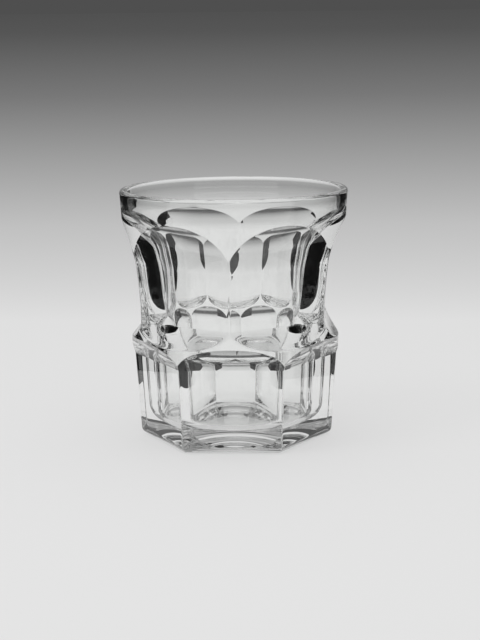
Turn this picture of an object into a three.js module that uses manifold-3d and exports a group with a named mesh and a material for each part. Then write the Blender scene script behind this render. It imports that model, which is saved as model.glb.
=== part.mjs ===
// A cut glass tumbler: one solid piece of clear glass, a thick round cone cut on the wheel.
// Six long panels are scooped out of the body. Six flat ones make the foot, half a panel round from them.
// Millimetres, +Z up. The origin is the middle of the underside, and a flat of the foot faces -Y.
import * as THREE from 'three';
import { mergeVertices } from 'three/addons/utils/BufferGeometryUtils.js';
import Module from 'manifold-3d';

// The round blank
const height = 89;
const underRadius = 34.5; // of the body's cone, carried down to the underside
const rimRadius = 40.35; // of the same cone at the top
const footSpread = 0.24; // how much wider than that cone the blank is at the underside
const lipThickness = 2.8; // the lip is a half round of this width

// The inside
const floorThickness = 7; // where the floor's corner begins
const floorDish = 0.9; // how far the floor dips to its middle
const cornerRadius = 3.6; // between the inside floor and the wall
const cornerWallRadius = 24.6; // of the inside where the corner ends
const wallHeights = [20, 30, 40, 50, 60, 70, 80];
const wallRadii = [25.1, 25.8, 27.4, 29.2, 30.8, 32.1, 36.4]; // of the inside at those heights

// The scoops round the body
const panelCount = 6;
const scoopHollow = 0.5; // how far the middle of a scoop lies under a true flat
const scoopBow = 0.14; // the same along its height
const lowRidgeDepth = 0.61; // of the ridges below the blank's surface, at the foot of the scoops
const highRidgeDepth = 0.31; // and at their shoulder
const scoopTop = 79.1; // highest point of a scoop's arch
const scoopShoulder = 61.9; // where the flat of a scoop turns into its upper arch
const scoopFoot = 43.8; // where it turns into its lower arch
const scoopBottom = 36.6; // lowest point of the lower arch
const upperWheel = 32.3; // radius of the wheel that left the upper arch
const lowerWheel = 10.4;

// The flats of the foot
const footShoulder = 29.1;
const footTop = 37.4; // highest point of a foot flat's arch
const footWheel = 14.3;
const footHollow = 0.15;
const cornerDepth = 0.4; // of the foot's corners below the blank's surface
const footEdge = 2.6; // rounding round the underside

// The shallow hollow under the foot
const underHollowRadius = 17.3;
const underHollowDepth = 2.3;

// How finely curves are divided
const roundSegments = 96;
const lipSteps = 6;
const wheelSteps = 6;
const edgeSteps = 4;
const cornerSteps = 5;
const wallSteps = 15;
const domeSteps = 4;
const hollowSteps = 16;
const bowSteps = 4;

const glassMaterial = new THREE.MeshStandardMaterial({
  color: 0xe9edec,
  roughness: 0.04,
  metalness: 0,
  transparent: true,
  opacity: 0.4,
});

const halfPitch = Math.PI / panelCount;
const cutterWidth = 2.2 * rimRadius;
const clearOfBlank = 12; // how far a cutter's outline runs on past the blank

const wasm = await Module();
wasm.setup();

// Radius of the round blank at a height: a cone that spreads a little below the belt.
function blankRadius(z) {
  const spread = footSpread * Math.max(0, 1 - z / footTop);
  return THREE.MathUtils.lerp(underRadius, rimRadius, z / height) + spread;
}

// Distance of a foot flat from the axis, so that two neighbours meet just under the blank's surface.
function footDistance(z) {
  return (blankRadius(z) - cornerDepth) * Math.cos(halfPitch);
}

// The same for the flat of a scoop, which leans and is slightly bowed along its height.
function scoopDistance(z) {
  const along = (z - scoopFoot) / (scoopShoulder - scoopFoot);
  const depth = THREE.MathUtils.lerp(lowRidgeDepth, highRidgeDepth, along);
  return (blankRadius(z) - depth) * Math.cos(halfPitch) - 4 * scoopBow * along * (1 - along);
}

function toSolid(geometry) {
  geometry.deleteAttribute('normal');
  geometry.deleteAttribute('uv');
  const merged = mergeVertices(geometry, 1e-4);
  const mesh = new wasm.Mesh({
    numProp: 3,
    vertProperties: Float32Array.from(merged.attributes.position.array),
    triVerts: Uint32Array.from(merged.index.array),
  });
  return new wasm.Manifold(mesh);
}

function toGeometry(solid) {
  const mesh = solid.getMesh();
  const geometry = new THREE.BufferGeometry();
  geometry.setAttribute('position', new THREE.BufferAttribute(mesh.vertProperties, 3));
  geometry.setIndex(new THREE.BufferAttribute(mesh.triVerts, 1));
  geometry.computeVertexNormals();
  return geometry;
}

// Turns a profile of (radius, height) points round the vertical axis.
function turned(profile) {
  const geometry = new THREE.LatheGeometry(profile, roundSegments, halfPitch);
  geometry.rotateX(Math.PI / 2);
  return toSolid(geometry);
}

function pointOnCircle(centre, radius, angle) {
  return new THREE.Vector2(centre.x + radius * Math.cos(angle), centre.y + radius * Math.sin(angle));
}

// Points on the arc of a wheel between two points of a profile, its centre outside the glass.
function wheelArc(from, to, wheelRadius, steps) {
  const middle = from.clone().add(to).multiplyScalar(0.5);
  const along = to.clone().sub(from);
  const halfChord = along.length() / 2;
  const offset = Math.sqrt(wheelRadius ** 2 - halfChord ** 2);
  const outward = new THREE.Vector2(Math.abs(along.y), -along.x * Math.sign(along.y)).normalize();
  const centre = middle.addScaledVector(outward, offset);
  const start = Math.atan2(from.y - centre.y, from.x - centre.x);
  const end = Math.atan2(to.y - centre.y, to.x - centre.x);
  const turn = Math.atan2(Math.sin(end - start), Math.cos(end - start));
  const points = [];
  for (let i = 0; i <= steps; i++) {
    const angle = start + (turn * i) / steps;
    points.push(pointOnCircle(centre, wheelRadius, angle));
  }
  return points;
}

// Carries a line of points straight on past its last point.
function carriedOn(points, distance) {
  const last = points[points.length - 1];
  const direction = last.clone().sub(points[points.length - 2]).normalize();
  return last.clone().addScaledVector(direction, distance);
}

// A cutter as wide as the glass, whose inner side has the outline given as (distance, height) points.
// The side bulges towards the glass, so that the cut is hollow and deepest along its middle.
function cutter(innerSide, hollow) {
  const far = rimRadius + 2 * clearOfBlank;
  const low = innerSide[0];
  const high = innerSide[innerSide.length - 1];
  const outerSide = [new THREE.Vector2(far, high.y), new THREE.Vector2(far, low.y)];
  const shape = new THREE.Shape([...innerSide, ...outerSide]);
  const settings = { depth: cutterWidth, steps: hollowSteps, bevelEnabled: false };
  const geometry = new THREE.ExtrudeGeometry(shape, settings);
  geometry.translate(0, 0, -cutterWidth / 2);
  geometry.rotateX(Math.PI / 2);
  const halfPanel = scoopDistance(scoopFoot) * Math.tan(halfPitch);
  const position = geometry.attributes.position;
  for (let i = 0; i < position.count; i++) {
    const across = position.getY(i) / halfPanel;
    position.setX(i, position.getX(i) - hollow * (1 - across * across));
  }
  return geometry;
}

// The same cut all round the glass.
function cutAllRound(solid, innerSide, hollow, firstAngle) {
  let result = solid;
  for (let i = 0; i < panelCount; i++) {
    const turnedCutter = cutter(innerSide, hollow).rotateZ(firstAngle + 2 * halfPitch * i);
    result = result.subtract(toSolid(turnedCutter));
  }
  return result;
}

// The blank, with its half-round lip.
function blankSolid() {
  const lipRadius = lipThickness / 2;
  const lipHeight = height - lipRadius;
  const lipCentre = new THREE.Vector2(blankRadius(lipHeight) - lipRadius, lipHeight);
  const profile = [new THREE.Vector2(0, 0)];
  for (const z of [0, footTop]) {
    profile.push(new THREE.Vector2(blankRadius(z), z));
  }
  for (let i = 0; i <= lipSteps; i++) {
    const angle = (Math.PI * i) / lipSteps;
    profile.push(pointOnCircle(lipCentre, lipRadius, angle));
  }
  profile.push(new THREE.Vector2(0, lipHeight));
  return turned(profile);
}

// The space inside, from the floor up through the mouth.
function insideSolid() {
  const lipHeight = height - lipThickness / 2;
  const mouthRadius = blankRadius(lipHeight) - lipThickness;
  const cornerHeight = floorThickness + cornerRadius;
  const floorRadius = cornerWallRadius - cornerRadius;
  const profile = [];
  for (let i = 0; i <= domeSteps; i++) {
    const share = i / domeSteps;
    profile.push(new THREE.Vector2(floorRadius * share, floorThickness - floorDish * (1 - share * share)));
  }
  for (let i = 1; i <= cornerSteps; i++) {
    const angle = (Math.PI / 2) * (i / cornerSteps);
    const x = floorRadius + cornerRadius * Math.sin(angle);
    profile.push(new THREE.Vector2(x, cornerHeight - cornerRadius * Math.cos(angle)));
  }
  const measured = wallHeights.map((z, i) => new THREE.Vector2(wallRadii[i], z));
  const wall = new THREE.SplineCurve([
    new THREE.Vector2(cornerWallRadius, cornerHeight),
    ...measured,
    new THREE.Vector2(mouthRadius, lipHeight),
  ]);
  profile.push(...wall.getPoints(wallSteps).slice(1));
  profile.push(new THREE.Vector2(mouthRadius, height + clearOfBlank));
  profile.push(new THREE.Vector2(0, height + clearOfBlank));
  return turned(profile);
}

// The shallow hollow that leaves the glass standing on a ring.
function underHollow() {
  const profile = [new THREE.Vector2(0, -clearOfBlank)];
  profile.push(new THREE.Vector2(underHollowRadius, -clearOfBlank));
  for (let i = domeSteps; i >= 0; i--) {
    const share = i / domeSteps;
    profile.push(new THREE.Vector2(underHollowRadius * share, underHollowDepth * (1 - share * share)));
  }
  return turned(profile);
}

// Inner side of a body scoop: lower arch, flat, upper arch.
function scoopSide() {
  const bottom = new THREE.Vector2(blankRadius(scoopBottom), scoopBottom);
  const flat = [];
  for (let i = 0; i <= bowSteps; i++) {
    const z = THREE.MathUtils.lerp(scoopFoot, scoopShoulder, i / bowSteps);
    flat.push(new THREE.Vector2(scoopDistance(z), z));
  }
  const top = new THREE.Vector2(blankRadius(scoopTop), scoopTop);
  const lowerArch = wheelArc(bottom, flat[0], lowerWheel, wheelSteps);
  const upperArch = wheelArc(flat[bowSteps], top, upperWheel, wheelSteps);
  const below = carriedOn([...lowerArch].reverse(), clearOfBlank);
  const above = carriedOn(upperArch, clearOfBlank);
  return [below, ...lowerArch, ...flat.slice(1, bowSteps), ...upperArch, above];
}

// Inner side of a flat of the foot: rounded edge at the underside, flat, arch.
function footSide() {
  const side = [new THREE.Vector2(footDistance(footEdge) - footEdge, -clearOfBlank)];
  for (let i = 0; i <= edgeSteps; i++) {
    const angle = (Math.PI / 2) * (i / edgeSteps);
    const x = footDistance(footEdge) - footEdge * (1 - Math.sin(angle));
    side.push(new THREE.Vector2(x, footEdge * (1 - Math.cos(angle))));
  }
  const flatHigh = new THREE.Vector2(footDistance(footShoulder), footShoulder);
  const top = new THREE.Vector2(blankRadius(footTop), footTop);
  const arch = wheelArc(flatHigh, top, footWheel, wheelSteps);
  return [...side, ...arch, carriedOn(arch, clearOfBlank)];
}

function tumblerBody() {
  const foot = cutAllRound(blankSolid(), footSide(), footHollow, -Math.PI / 2);
  const cut = cutAllRound(foot, scoopSide(), scoopHollow, -Math.PI / 2 + halfPitch);
  const hollow = cut.subtract(insideSolid()).subtract(underHollow());
  const mesh = new THREE.Mesh(toGeometry(hollow), glassMaterial);
  mesh.name = 'tumbler_body';
  return mesh;
}

const tumbler = new THREE.Group();
tumbler.add(tumblerBody());

export default tumbler;
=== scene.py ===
# A cut glass tumbler on a pale table, in soft studio light.
# Metres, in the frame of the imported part: +Z up, and a flat of the foot faces -Y.
import math
import bpy
from mathutils import Matrix, Vector


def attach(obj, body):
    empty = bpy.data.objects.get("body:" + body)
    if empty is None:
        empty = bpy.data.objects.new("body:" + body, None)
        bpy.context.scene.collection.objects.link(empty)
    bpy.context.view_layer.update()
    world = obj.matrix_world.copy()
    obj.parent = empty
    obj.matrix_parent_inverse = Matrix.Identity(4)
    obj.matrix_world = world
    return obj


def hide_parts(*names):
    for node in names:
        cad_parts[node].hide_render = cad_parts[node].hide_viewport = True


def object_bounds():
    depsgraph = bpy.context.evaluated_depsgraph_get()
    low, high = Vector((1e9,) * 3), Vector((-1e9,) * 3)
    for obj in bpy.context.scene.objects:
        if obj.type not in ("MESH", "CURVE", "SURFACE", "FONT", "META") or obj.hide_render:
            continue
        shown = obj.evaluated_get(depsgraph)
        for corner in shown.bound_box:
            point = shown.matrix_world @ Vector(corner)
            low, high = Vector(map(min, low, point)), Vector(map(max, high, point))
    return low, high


mm = 0.001
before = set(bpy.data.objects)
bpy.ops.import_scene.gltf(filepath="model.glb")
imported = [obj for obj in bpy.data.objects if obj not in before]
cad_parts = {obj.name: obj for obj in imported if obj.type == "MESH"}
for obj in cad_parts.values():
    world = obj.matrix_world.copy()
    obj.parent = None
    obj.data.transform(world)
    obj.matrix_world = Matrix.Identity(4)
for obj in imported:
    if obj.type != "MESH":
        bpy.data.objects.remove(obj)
cadLow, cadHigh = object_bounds()
print("frame loaded, box", [round(v, 4) for v in (*cadLow, *cadHigh)])


class Graph:  # a node tree that is filled in by expressions
    def __init__(self, tree):
        self.tree = tree
        tree.nodes.clear()

    def node(self, kind, settings=None, inputs=None, output=0):
        made = self.tree.nodes.new(kind)
        for name, value in (settings or {}).items():
            if name == "stops":
                self.setStops(made.color_ramp, value)
            else:
                setattr(made, name, value)
        for key, value in (inputs or {}).items():
            if isinstance(value, Signal):
                self.tree.links.new(value.socket, made.inputs[key])
            else:
                made.inputs[key].default_value = value
        return Signal(self, made.outputs[output]) if made.outputs else made

    def setStops(self, ramp, stops):
        for index, (place, colour) in enumerate(stops):
            stop = ramp.elements[index] if index < 2 else ramp.elements.new(place)
            stop.position = place
            stop.color = colour

    def math(self, operation, *values):
        return self.node("ShaderNodeMath", {"operation": operation}, dict(enumerate(values)))

    def curve(self, value, bends):  # a smooth curve from (0, 0) to (1, 1) through the bends
        made = self.tree.nodes.new("ShaderNodeFloatCurve")
        self.tree.links.new(value.socket, made.inputs["Value"])
        for place, level in bends:
            made.mapping.curves[0].points.new(place, level)
        made.mapping.update()
        return Signal(self, made.outputs[0])


class Signal:  # an output of a node; its operators add Math nodes
    def __init__(self, graph, socket):
        self.graph = graph
        self.socket = socket

    def other(self, output):
        return Signal(self.graph, self.socket.node.outputs[output])

    def __add__(self, value):
        return self.graph.math("ADD", self, value)

    __radd__ = __add__

    def __sub__(self, value):
        return self.graph.math("SUBTRACT", self, value)

    def __rsub__(self, value):
        return self.graph.math("SUBTRACT", value, self)

    def __mul__(self, value):
        return self.graph.math("MULTIPLY", self, value)

    __rmul__ = __mul__

    def __truediv__(self, value):
        return self.graph.math("DIVIDE", self, value)

    def __rtruediv__(self, value):
        return self.graph.math("DIVIDE", value, self)

    def __mod__(self, value):
        return self.graph.math("FLOORED_MODULO", self, value)

    def __abs__(self):
        return self.graph.math("ABSOLUTE", self)

    def __gt__(self, value):
        return self.graph.math("GREATER_THAN", self, value)

    def __lt__(self, value):
        return self.graph.math("LESS_THAN", self, value)

    def clamped(self):
        return self.graph.math("MINIMUM", self.graph.math("MAXIMUM", self, 0), 1)

    def root(self):
        return self.graph.math("SQRT", self.graph.math("MAXIMUM", self, 0))

    def sine(self):
        return self.graph.math("SINE", self)

    def cosine(self):
        return self.graph.math("COSINE", self)

    def tangent(self):
        return self.graph.math("TANGENT", self)

    def softMinimum(self, value, softness):
        return self.graph.math("SMOOTH_MIN", self, value, softness)


def tone(level):  # a linear grey from one that is written as 0..255 on a screen
    share = level / 255
    value = ((share + 0.055) / 1.055) ** 2.4
    return (value, value, value, 1)


tumbler = {  # the form, from the underside up and back down the inside
    "panels": 6,
    "underRadius": 34.5 * mm,  # of the body's cone, carried down to the underside
    "footSpread": 0.15 * mm,  # how much wider the blank is there
    "cornerDepth": 0.42 * mm,  # of the foot's corners below the blank's surface
    "lowRidgeDepth": 0.62 * mm,  # of the body's ridges at the foot of the scoops
    "highRidgeDepth": 0.52 * mm,  # and at their shoulder
    "footShoulder": 29.6 * mm,  # height at which the foot's flats turn into their arches
    "footTop": 37.6 * mm,  # and at which the arches leave the blank
    "footWheel": 13.9 * mm,  # radius of the arc by which they rise out of the flats
    "scoopBottom": 36.9 * mm,  # heights of a scoop: its lowest point, its flat and its highest point
    "scoopFoot": 43.8 * mm,
    "scoopShoulder": 63.2 * mm,
    "scoopTop": 79.1 * mm,
    "lowerWheel": 13.8 * mm,
    "upperWheel": 28.5 * mm,
    "scoopHollow": 0.25 * mm,  # how far the middle of a cut lies under a true flat
    "scoopBow": 0.3 * mm,  # the same along a scoop's height
    "footHollow": 0.07 * mm,
    "scoopRidgeSoftness": 1.08 * mm,  # polish of the ridges between two scoops
    "footRidgeSoftness": 0.64 * mm,  # of the foot's corners
    "upperSoftness": 0.18 * mm,  # of the edges of the arches, from the top down
    "lowerSoftness": 1.08 * mm,
    "footSoftness": 0.23 * mm,
    "edgeRounding": 2.6 * mm,  # round the underside
    "hollowRadius": 22 * mm,  # of the shallow hollow in the underside
    "hollowDepth": 3 * mm,
    "lipThickness": 2.7 * mm,
    "floorHeight": 7 * mm,
    "cornerRounding": 4.1 * mm,
    "wall": {  # height: radius of the inside there
        85 * mm: 37.51 * mm,
        80 * mm: 36.95 * mm,
        77.5 * mm: 36.02 * mm,
        75 * mm: 34.84 * mm,
        72.5 * mm: 33.67 * mm,
        70 * mm: 32.7 * mm,
        65 * mm: 31.43 * mm,
        60 * mm: 30.55 * mm,
        50 * mm: 29.35 * mm,
        40 * mm: 27.16 * mm,
        30 * mm: 26.03 * mm,
        20 * mm: 25.5 * mm,
        11.1 * mm: 25 * mm,
    },
    "columnsPerHalfPanel": 28,
    "rows": {  # of the mesh, zone by zone along the profile
        "hollow": 14,
        "standingRing": 5,
        "edge": 10,
        "footFlat": 26,
        "footArch": 18,
        "belt": 18,
        "lowerArch": 18,
        "scoopFlat": 36,
        "upperArch": 28,
        "collar": 16,
        "lip": 14,
        "wall": 50,
        "corner": 14,
        "floor": 10,
    },
}


def wheelCentre(start, end, radius):  # of an arc through two (distance, height) points
    middle = (start + end) / 2
    along = end - start
    outward = Vector((abs(along.y), -along.x * math.copysign(1, along.y))).normalized()
    return middle + outward * math.sqrt(radius ** 2 - (along.length / 2) ** 2)


def blankRadius(form, height):
    lipHeight = cadHigh.z - form["lipThickness"] / 2
    spread = form["footSpread"] * max(0, 1 - height / form["footTop"])
    return form["underRadius"] + (cadHigh.x - form["underRadius"]) * height / lipHeight + spread


def archWheels(form):  # the places of the three wheels that leave the arches
    arches = {  # where each leaves its flat and the blank, and how deep its ridges are
        "foot": ("footShoulder", "footTop", "cornerDepth"),
        "lower": ("scoopFoot", "scoopBottom", "lowRidgeDepth"),
        "upper": ("scoopShoulder", "scoopTop", "highRidgeDepth"),
    }
    centres = {}
    for name, (start, end, depth) in arches.items():
        ridge = blankRadius(form, form[start]) - form[depth]
        onFlat = Vector((ridge * math.cos(math.pi / form["panels"]), form[start]))
        onBlank = Vector((blankRadius(form, form[end]), form[end]))
        centres[name] = wheelCentre(onFlat, onBlank, form[name + "Wheel"])
    return centres


def tumblerInputs(form):  # what the node tree is given, by name
    names = (
        "underRadius", "footSpread", "cornerDepth", "lowRidgeDepth", "highRidgeDepth",
        "footShoulder", "footTop", "scoopFoot", "scoopShoulder", "footWheel", "lowerWheel",
        "upperWheel", "scoopHollow", "scoopBow", "footHollow", "scoopRidgeSoftness",
        "footRidgeSoftness", "upperSoftness", "lowerSoftness", "footSoftness", "edgeRounding",
        "hollowRadius", "hollowDepth", "lipThickness", "floorHeight", "cornerRounding",
    )
    given = {name: form[name] for name in names}
    given["height"] = cadHigh.z
    given["lipRadius"] = cadHigh.x
    for name, centre in archWheels(form).items():
        given[name + "WheelDistance"] = centre.x
        given[name + "WheelHeight"] = centre.y
    return given


def between(start, end, share):
    return start + share * (end - start)


def tumblerTree(form, given):
    tree = bpy.data.node_groups.new("cutTumblerForm", "GeometryNodeTree")
    graph = Graph(tree)
    tree.interface.new_socket(name="Tumbler", in_out="OUTPUT", socket_type="NodeSocketGeometry")
    for name in given:
        tree.interface.new_socket(name=name, in_out="INPUT", socket_type="NodeSocketFloat")
    tree.interface.new_socket(name="glass", in_out="INPUT", socket_type="NodeSocketMaterial")
    start = tree.nodes.new("NodeGroupInput")
    size = {name: Signal(graph, start.outputs[name]) for name in given}
    halfPitch = math.pi / form["panels"]
    pitchCosine = math.cos(halfPitch)
    columns = 2 * form["panels"] * form["columnsPerHalfPanel"]
    rowTotal = sum(form["rows"].values())

    # a closed drum, whose rows become the profile and whose columns the turns about the axis
    drum = graph.node(
        "GeometryNodeMeshCylinder",
        {"fill_type": "TRIANGLE_FAN"},
        {
            "Vertices": columns,
            "Side Segments": rowTotal,
            "Fill Segments": 1,
            "Radius": 1.0,
            "Depth": 2.0,
        },
    )
    place = graph.node("ShaderNodeSeparateXYZ", inputs={0: graph.node("GeometryNodeInputPosition")})
    x, y, z = place, place.other(1), place.other(2)
    row = graph.math("ROUND", (z + 1) * (rowTotal / 2))
    onRing = (x * x + y * y) > 0.5  # all but the two middle points
    column = graph.math("ROUND", graph.math("ARCTAN2", y, x) * (columns / (2 * math.pi)))
    share = column / form["columnsPerHalfPanel"]
    whole = graph.math("FLOOR", share)
    eased = (1 - ((share - whole) * math.pi).cosine()) / 2  # columns crowd at the ridges and corners
    angle = (whole + eased) * halfPitch
    fromScoop = abs((angle + halfPitch) % (2 * halfPitch) - halfPitch)
    fromFoot = halfPitch - fromScoop

    lipHeight = size["height"] - size["lipThickness"] / 2
    taper = (size["lipRadius"] - size["underRadius"]) / lipHeight

    def blankAt(height):
        spread = graph.math("MAXIMUM", 1 - height / size["footTop"], 0) * size["footSpread"]
        return size["underRadius"] + taper * height + spread

    def archAt(name, height):
        wheel = size[name + "Wheel"]
        rise = height - size[name + "WheelHeight"]
        return size[name + "WheelDistance"] - (wheel * wheel - rise * rise).root()

    def hollowAt(name, turn):  # a cut's depth under a true flat
        across = turn.tangent() / math.tan(halfPitch)
        return size[name] * (1 - across * across)

    def creaseAt(name, turn, side, hollow):  # height at which a wheel's arch leaves the blank
        cosine = turn.cosine()
        across = size[name + "WheelDistance"] - size["underRadius"] * cosine - hollowAt(hollow, turn)
        slope = taper * cosine
        spread = 1 + slope * slope
        centre = size[name + "WheelHeight"]
        middle = (across * slope + centre) / spread
        wheel = size[name + "Wheel"]
        rest = (across * across + centre * centre - wheel * wheel) / spread
        return middle + side * (middle * middle - rest).root()

    def flatAt(distance, turn, name):
        return (distance - hollowAt(name + "Hollow", turn)) / turn.cosine()

    def flatsAt(distance, turn, name):  # all round, softened where two flats meet
        nearest = flatAt(distance, turn, name)
        following = flatAt(distance, 2 * halfPitch - turn, name)
        return nearest.softMinimum(following, size[name + "RidgeSoftness"])

    def outsideAt(height):
        blank = blankAt(height)
        along = (height - size["scoopFoot"]) / (size["scoopShoulder"] - size["scoopFoot"])
        ridgeDepth = between(size["lowRidgeDepth"], size["highRidgeDepth"], along)
        bow = 4 * size["scoopBow"] * along * (1 - along)
        scoopFlat = (blank - ridgeDepth) * pitchCosine - bow
        scoop = between(scoopFlat, archAt("upper", height), height > size["scoopShoulder"])
        scoop = between(scoop, archAt("lower", height), height < size["scoopFoot"])
        footFlat = (blank - size["cornerDepth"]) * pitchCosine
        foot = between(footFlat, archAt("foot", height), height > size["footShoulder"])
        inUpperHalf = height > (size["scoopFoot"] + size["scoopShoulder"]) / 2
        softness = between(size["lowerSoftness"], size["upperSoftness"], inUpperHalf)
        cut = blank.softMinimum(flatsAt(scoop, fromScoop, "scoop"), softness)
        return cut.softMinimum(flatsAt(foot, fromFoot, "foot"), size["footSoftness"])

    # how far along each zone of the profile a row is
    reached = {}
    ends = {}
    first = 0
    for zone, count in form["rows"].items():
        reached[zone] = ((row - first) / count).clamped()
        first += count
        ends[zone] = first

    def ease(zone):  # rows crowd at both ends of a zone
        return (1 - (reached[zone] * math.pi).cosine()) / 2

    # the outside, zone by zone
    footCrease = creaseAt("foot", fromFoot, 1, "footHollow")
    lowerCrease = creaseAt("lower", fromScoop, -1, "scoopHollow")
    upperCrease = creaseAt("upper", fromScoop, 1, "scoopHollow")
    stations = (
        ("footFlat", size["edgeRounding"], size["footShoulder"]),
        ("footArch", size["footShoulder"], footCrease),
        ("belt", footCrease, lowerCrease),
        ("lowerArch", lowerCrease, size["scoopFoot"]),
        ("scoopFlat", size["scoopFoot"], size["scoopShoulder"]),
        ("upperArch", size["scoopShoulder"], upperCrease),
        ("collar", upperCrease, lipHeight),
    )
    outsideHeight = size["edgeRounding"]
    for zone, low, high in stations:
        outsideHeight = outsideHeight + ease(zone) * (high - low)
    outsideRadius = outsideAt(outsideHeight)

    # the underside: shallow hollow, standing ring, rounded edge
    standing = outsideAt(size["edgeRounding"]) - size["edgeRounding"]
    hollowShare = ((row + 1) / (form["rows"]["hollow"] + 1)).clamped()
    quarter = reached["edge"] * (math.pi / 2)
    underRadius = (
        size["hollowRadius"] * hollowShare
        + (standing - size["hollowRadius"]) * reached["standingRing"]
        + size["edgeRounding"] * quarter.sine()
    )
    hollowRise = size["hollowDepth"] * (1 - hollowShare * hollowShare)
    underHeight = hollowRise + size["edgeRounding"] * (1 - quarter.cosine())

    # the lip
    halfTurn = reached["lip"] * math.pi
    lipHalf = size["lipThickness"] / 2
    lipRadius = size["lipRadius"] - lipHalf + lipHalf * halfTurn.cosine()
    lipRise = lipHeight + lipHalf * halfTurn.sine()

    # the inside: wall, corner, floor
    def wallAt(level):  # a smooth curve through the radii of the inside, up to the lip
        lowest = min(form["wall"])
        narrowest = form["wall"][lowest]
        rise = cadHigh.z - form["lipThickness"] / 2 - lowest
        spread = cadHigh.x - form["lipThickness"] - narrowest
        bends = []
        for stationHeight, stationRadius in form["wall"].items():
            if stationHeight > lowest:
                bends.append(((stationHeight - lowest) / rise, (stationRadius - narrowest) / spread))
        return narrowest + spread * graph.curve((level - lowest) / rise, bends)

    cornerHeight = size["floorHeight"] + size["cornerRounding"]
    wallHeight = lipHeight + (cornerHeight - lipHeight) * reached["wall"]
    turnIn = reached["corner"] * (math.pi / 2)
    floorShare = reached["floor"] * (form["rows"]["floor"] / (form["rows"]["floor"] + 1))
    cornerRadius = wallAt(wallHeight) - size["cornerRounding"] * (1 - turnIn.cosine())
    insideRadius = cornerRadius * (1 - floorShare)
    insideHeight = wallHeight - size["cornerRounding"] * turnIn.sine()

    def chosen(under, outside, lip, inside):
        upward = between(under, outside, row > ends["edge"])
        overLip = between(upward, lip, row > ends["collar"])
        return between(overLip, inside, row > ends["lip"])

    radius = onRing * chosen(underRadius, outsideRadius, lipRadius, insideRadius)
    height = chosen(underHeight, outsideHeight, lipRise, insideHeight)
    across = radius * angle.cosine()
    deep = radius * angle.sine()
    position = graph.node("ShaderNodeCombineXYZ", inputs={0: across, 1: deep, 2: height})
    shaped = graph.node("GeometryNodeSetPosition", inputs={"Geometry": drum, "Position": position})
    smooth = graph.node("GeometryNodeSetShadeSmooth", inputs={"Geometry": shaped})
    real = graph.node("GeometryNodeRealizeInstances", inputs={"Geometry": smooth})
    glass = Signal(graph, start.outputs["glass"])
    finished = graph.node("GeometryNodeSetMaterial", inputs={"Geometry": real, "Material": glass})
    graph.node("NodeGroupOutput", inputs={"Tumbler": finished})
    return tree


glassFinish = {
    "colour": (0.985, 0.99, 0.985, 1),
    "refraction": 1.52,
    "waveScale": 95,  # of the slow waves of the polish; scales are per metre
    "waveHeight": 0.012 * mm,
    "wheelScale": 520,  # of the fine marks that the wheel leaves round the cuts
    "wheelHeight": 0.0012 * mm,
    "pitScale": 330,
    "pitSize": 0.045,  # radius, as a share of the cell that each lies in
    "pitHeight": 0.02 * mm,
    "pitPatchScale": 140,
    "pitRarity": 0.62,  # pits lie where a noise is above this
    "scratchScale": 60,
    "scratchBendScale": 23,
    "scratchRepeats": 9,
    "scratchFineness": 60,
    "scratchHeight": 0.0025 * mm,
    "scratchPatchScale": 48,
    "scratchRarity": 0.6,
    "rubbedUnder": 0.16,  # roughness where the glass stands
    "rubbedHeight": 0.5 * mm,
    "rubbedEvenness": 0.4,  # the least share of it
    "rubbedGrain": 900,
    "haze": 0.012,  # roughness of the most handled spots
    "hazeScale": 34,
    "hazeContrast": 4,
}


def clearGlass(finish):
    material = bpy.data.materials.new("clearGlass")
    material.use_nodes = True
    graph = Graph(material.node_tree)
    spot = graph.node("ShaderNodeTexCoord", output="Object")
    height = graph.node("ShaderNodeSeparateXYZ", inputs={0: spot}, output=2)

    def noise(scale, detail, stretch=(1, 1, 1)):
        placed = graph.node("ShaderNodeMapping", inputs={"Vector": spot, "Scale": stretch})
        inputs = {"Vector": placed, "Scale": scale, "Detail": detail}
        return graph.node("ShaderNodeTexNoise", inputs=inputs)

    waves = noise(finish["waveScale"], 1.0) * finish["waveHeight"]
    marks = noise(finish["wheelScale"], 2.0, (0.25, 0.25, 1)) * finish["wheelHeight"]
    cells = graph.node("ShaderNodeTexVoronoi", inputs={"Vector": spot, "Scale": finish["pitScale"]})
    pitted = noise(finish["pitPatchScale"], 0.0) > finish["pitRarity"]
    pits = (1 - cells / finish["pitSize"]).clamped() * pitted * finish["pitHeight"]
    bent = noise(finish["scratchBendScale"], 1.0, (1, 0.6, 0.4))
    crossing = noise(finish["scratchScale"], 0.0, (0.3, 1, 2.2)) + bent
    fromLine = abs((crossing * finish["scratchRepeats"]) % 1 - 0.5)
    scratched = noise(finish["scratchPatchScale"], 1.0) > finish["scratchRarity"]
    scratches = (1 - fromLine * finish["scratchFineness"]).clamped() * scratched
    relief = waves + marks - pits - scratches * finish["scratchHeight"]
    bump = graph.node("ShaderNodeBump", inputs={"Height": relief, "Strength": 1.0, "Distance": 1.0})
    grain = finish["rubbedEvenness"] + noise(finish["rubbedGrain"], 2.0)
    standing = (1 - height / finish["rubbedHeight"]).clamped() * grain
    handled = ((noise(finish["hazeScale"], 3.0) - 0.5) * finish["hazeContrast"]).clamped()
    roughness = standing * finish["rubbedUnder"] + handled * finish["haze"]
    shader = graph.node(
        "ShaderNodeBsdfPrincipled",
        inputs={
            "Base Color": finish["colour"],
            "Roughness": roughness,
            "IOR": finish["refraction"],
            "Transmission Weight": 1.0,
            "Normal": bump,
        },
    )
    graph.node("ShaderNodeOutputMaterial", inputs={"Surface": shader})
    return material


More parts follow.
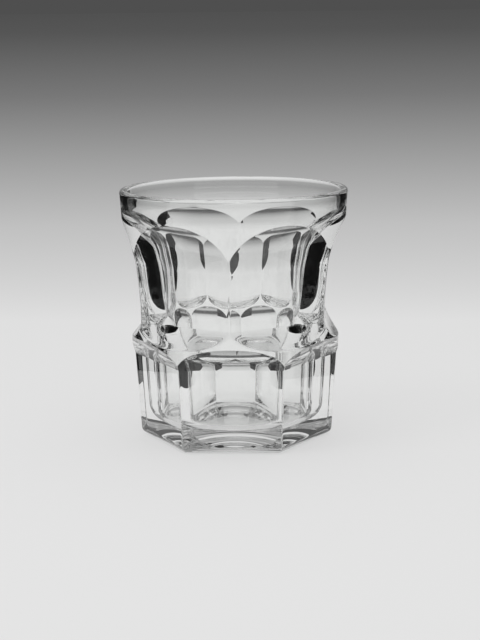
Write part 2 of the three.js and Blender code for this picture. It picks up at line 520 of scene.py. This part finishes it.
def makeTumbler(form, glass):
    given = tumblerInputs(form)
    tree = tumblerTree(form, given)
    body = bpy.data.objects.new("tumblerBody", bpy.data.meshes.new("drum"))
    bpy.context.scene.collection.objects.link(body)
    modifier = body.modifiers.new("form", "NODES")
    modifier.node_group = tree
    for socket in tree.interface.items_tree:
        if socket.in_out == "INPUT":
            modifier[socket.identifier] = glass if socket.name == "glass" else given[socket.name]
    bpy.context.view_layer.update()
    evaluated = body.evaluated_get(bpy.context.evaluated_depsgraph_get())
    mesh = bpy.data.meshes.new_from_object(evaluated)
    body.modifiers.remove(modifier)
    body.data = mesh
    mesh.name = "tumblerBody"
    return body


glass = clearGlass(glassFinish)
body = makeTumbler(tumbler, glass)
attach(body, "root")
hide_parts("tumbler_body")
print("tumbler made,", len(body.data.polygons), "faces")


surroundings = {
    "reach": 12.0,  # of the table to the front and the sides
    "depth": 60.0,  # of the table behind the glass
    "gap": 0.3 * mm,  # between the table and what stands on it
    "paintedFalloffScale": 0.4,  # the table's nearness is 1 / (1 + distance behind the glass / this); the painted falloff of light runs along it
    "paintedFalloff": (  # (nearness, tone): the table's pale tone near the glass, darkened towards the back as painted shade where the light falls off
        (0, 79),
        (0.036, 85),
        (0.142, 119),
        (0.263, 158),
        (0.4, 190),
        (0.55, 209),
        (0.64, 220),
        (1, 224),
    ),
    "glow": 0.72,  # share of the table's tone that no shadow takes away
    "sky": (  # (degrees above the horizon, tone)
        (-2, 79),
        (0.3, 79),
        (2.5, 75),
        (5, 43),
        (12, 193),
        (25, 135),
        (50, 178),
        (62.1, 178),
        (66.1, 255),
    ),
    "skyLow": -20,  # degrees at which the sky's ramp starts
    "plainLight": 1.05,  # of the world on matt surfaces
}


def seenDirectly(graph):  # 1 for rays from the camera and rays reflected or bent by the glass
    path = graph.node("ShaderNodeLightPath")
    seen = path.other("Is Camera Ray") + path.other("Is Glossy Ray") + path.other("Is Transmission Ray")
    return seen.clamped()


def floorFinish(around):
    material = bpy.data.materials.new("paleTable")
    material.use_nodes = True
    graph = Graph(material.node_tree)
    spot = graph.node("ShaderNodeTexCoord", output="Object")
    backwards = graph.node("ShaderNodeSeparateXYZ", inputs={0: spot}, output=1)
    # painted shade: the table's tone darkens with distance behind the glass, standing in for the light
    # falling off towards the back
    behind = graph.math("MAXIMUM", backwards, 0)
    nearness = 1 / (1 + behind / around["paintedFalloffScale"])
    stops = [(place, tone(level)) for place, level in around["paintedFalloff"]]
    paintedFalloff = graph.node("ShaderNodeValToRGB", {"stops": stops}, {0: nearness})
    matt = graph.node("ShaderNodeBsdfDiffuse", inputs={"Color": paintedFalloff})
    glow = graph.node("ShaderNodeEmission", inputs={"Color": paintedFalloff})
    share = seenDirectly(graph) * around["glow"]
    mixed = graph.node("ShaderNodeMixShader", inputs={0: share, 1: matt, 2: glow})
    graph.node("ShaderNodeOutputMaterial", inputs={"Surface": mixed})
    return material


def flatPiece(name, corners, material):
    mesh = bpy.data.meshes.new(name)
    mesh.from_pydata(corners, [], [(0, 1, 2, 3)])
    mesh.materials.append(material)
    piece = bpy.data.objects.new(name, mesh)
    bpy.context.scene.collection.objects.link(piece)
    return piece


def makeTable(around):
    reach, depth, level = around["reach"], around["depth"], -around["gap"]
    corners = (
        (-reach, -reach, level),
        (reach, -reach, level),
        (reach, depth, level),
        (-reach, depth, level),
    )
    flatPiece("table", corners, floorFinish(around))


blackCards = {  # two long upright cards beside the glass that darken its edges
    "left": 93 * mm,  # from the middle of the glass to their front ends
    "right": 90 * mm,
    "opening": 0.12,  # how far they spread for each metre of their length
    "front": -64 * mm,
    "back": 440 * mm,
    "height": 225 * mm,
    "colour": (0.006, 0.006, 0.006, 1),
}


def makeCards(card):
    material = bpy.data.materials.new("blackCard")
    material.use_nodes = True
    graph = Graph(material.node_tree)
    matt = graph.node("ShaderNodeBsdfDiffuse", inputs={"Color": card["colour"]})
    graph.node("ShaderNodeOutputMaterial", inputs={"Surface": matt})
    front, back, top = card["front"], card["back"], card["height"]
    for name, side in (("left", -1), ("right", 1)):
        near = side * card[name]
        far = near + side * card["opening"] * (back - front)
        corners = ((near, front, 0), (far, back, 0), (far, back, top), (near, front, top))
        piece = flatPiece(name + "Card", corners, material)
        piece.visible_camera = False
        piece.visible_diffuse = False
        piece.visible_shadow = False


def makeSky(around):
    world = bpy.data.worlds.new("studio")
    bpy.context.scene.world = world
    world.use_nodes = True
    graph = Graph(world.node_tree)
    direction = graph.node("ShaderNodeTexCoord", output="Generated")
    up = graph.node("ShaderNodeSeparateXYZ", inputs={0: direction}, output=2)
    low = around["skyLow"]
    span = 90 - low
    share = (graph.math("ARCSINE", up) * (180 / math.pi) - low) / span
    stops = [((angle - low) / span, tone(level)) for angle, level in around["sky"]]
    sky = graph.node("ShaderNodeValToRGB", {"stops": stops}, {0: share})
    seen = graph.node("ShaderNodeBackground", inputs={"Color": sky})
    white = {"Color": (1, 1, 1, 1), "Strength": around["plainLight"]}
    plain = graph.node("ShaderNodeBackground", inputs=white)
    mixed = graph.node("ShaderNodeMixShader", inputs={0: seenDirectly(graph), 1: plain, 2: seen})
    graph.node("ShaderNodeOutputWorld", inputs={"Surface": mixed})


softbox = {
    "power": 1.2,
    "size": 0.4,
    "place": (-0.55, -0.35, 0.75),
    "aim": (0, 0, 0.03),
}


def makeSoftbox(lamp):
    light = bpy.data.lights.new("softbox", "AREA")
    light.shape = "DISK"
    light.size = lamp["size"]
    light.energy = lamp["power"]
    holder = bpy.data.objects.new("softbox", light)
    bpy.context.scene.collection.objects.link(holder)
    holder.location = lamp["place"]
    towards = Vector(lamp["aim"]) - Vector(lamp["place"])
    holder.rotation_euler = towards.to_track_quat("-Z", "Y").to_euler()
    holder.visible_glossy = False
    holder.visible_transmission = False


makeTable(surroundings)
makeCards(blackCards)
makeSky(surroundings)
makeSoftbox(softbox)
print("stage and light made")


view = {
    "azimuth": 2.85,  # degrees, as are the next two
    "elevation": 10.42,
    "roll": -0.66,
    "distance": 607 * mm,
    "aim": (1.715 * mm, 0, 41.43 * mm),
    "lens": 95.6,  # in millimetres, as is the sensor's width
    "sensor": 36,
    "bounces": 24,  # of light in the glass
    "glossyBounces": 12,
}


def makeCamera(shot):
    camera = bpy.data.cameras.new("camera")
    camera.lens = shot["lens"]
    camera.sensor_width = shot["sensor"]
    camera.clip_start = 10 * mm
    holder = bpy.data.objects.new("camera", camera)
    bpy.context.scene.collection.objects.link(holder)
    azimuth = math.radians(shot["azimuth"])
    elevation = math.radians(shot["elevation"])
    roll = Matrix.Rotation(math.radians(shot["roll"]), 4, "Z")
    level = math.cos(elevation)
    back = Vector((math.sin(azimuth) * level, -math.cos(azimuth) * level, math.sin(elevation)))
    right = Vector((math.cos(azimuth), math.sin(azimuth), 0))
    turned = Matrix((right, back.cross(right), back)).transposed().to_4x4() @ roll
    holder.matrix_world = Matrix.Translation(Vector(shot["aim"]) + back * shot["distance"]) @ turned
    bpy.context.scene.camera = holder


makeCamera(view)
scene = bpy.context.scene
scene.view_settings.view_transform = "Standard"
scene.cycles.max_bounces = view["bounces"]
scene.cycles.transmission_bounces = view["bounces"]
scene.cycles.glossy_bounces = view["glossyBounces"]
print("camera set")
